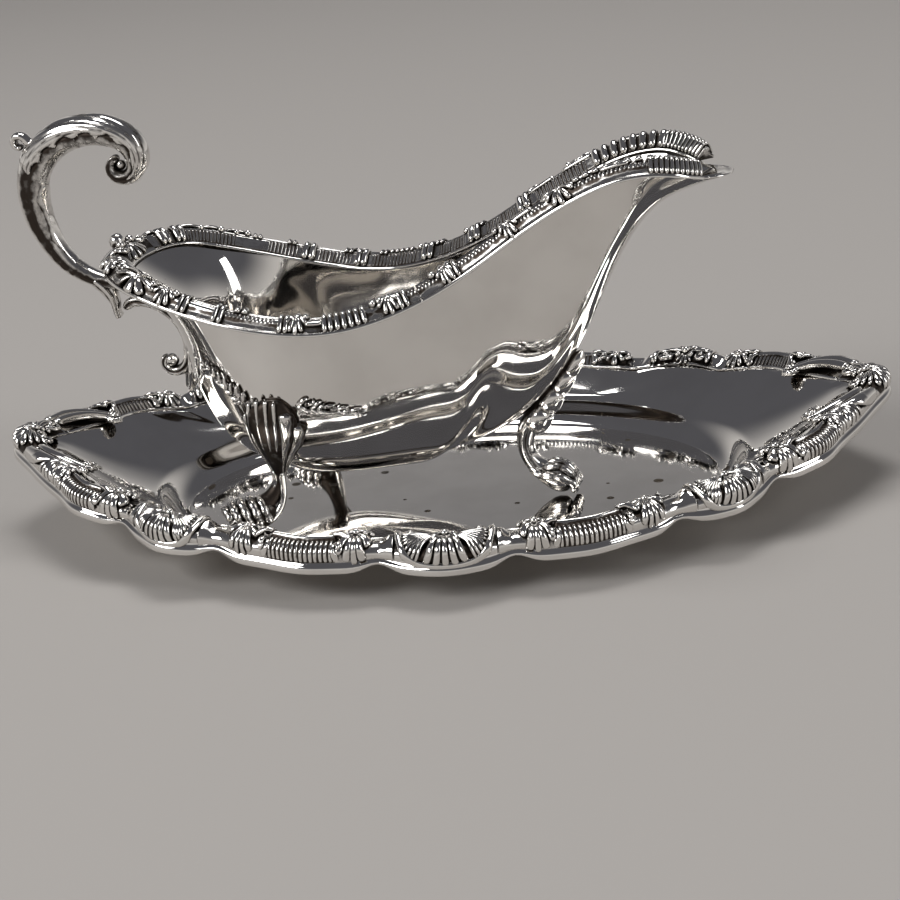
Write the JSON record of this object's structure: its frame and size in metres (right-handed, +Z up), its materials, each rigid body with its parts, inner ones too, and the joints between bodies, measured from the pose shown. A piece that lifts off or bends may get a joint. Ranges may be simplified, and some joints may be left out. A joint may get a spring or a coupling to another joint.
{
  "type": "gravy boat with underplate",
  "caption": "Footed gravy boat with a scroll handle and a high pouring spout, standing loose in the well of an oval underplate; both have cast shell and gadroon borders.",
  "frame": {"origin": "centre of the underplate's flat base", "axes": "+X along the underplate's long axis towards the boat's spout, +Z up"},
  "size_m": [0.2544, 0.1604, 0.1161],
  "materials": {
    "polished_sheet": "hand-polished silver plate with fine tarnish specks",
    "cast_ornament": "polished silver plate with dark oxidised recesses"
  },
  "bodies": {
    "underplate": {"underplate_dish": "polished_sheet", "shell_end_right": "cast_ornament", "shell_corner_back_right": "cast_ornament", "shell_side_back": "cast_ornament", "shell_corner_back_left": "cast_ornament", "shell_end_left": "cast_ornament", "shell_corner_front_left": "cast_ornament", "shell_side_front": "cast_ornament", "shell_corner_front_right": "cast_ornament", "border_end_back_right": "cast_ornament", "border_side_back_right": "cast_ornament", "border_side_back_left": "cast_ornament", "border_end_back_left": "cast_ornament", "border_end_front_left": "cast_ornament", "border_side_front_left": "cast_ornament", "border_side_front_right": "cast_ornament", "border_end_front_right": "cast_ornament"},
    "boat": {"bowl": "polished_sheet", "rim_shell_back": "cast_ornament", "rim_border_rear_left": "cast_ornament", "rim_border_front_left": "cast_ornament", "rim_border_front_right": "cast_ornament", "rim_border_rear_right": "cast_ornament", "handle_upper_scroll": "cast_ornament", "handle_lower_scroll": "cast_ornament", "foot_rear_left": "cast_ornament", "foot_rear_right": "cast_ornament", "foot_front": "cast_ornament"}
  },
  "joints": [
    {"name": "boat_lift", "type": "slide", "parent": "underplate", "child": "boat", "axis": [0, 0, 1], "range_m": [0, 0.08]}
  ]
}
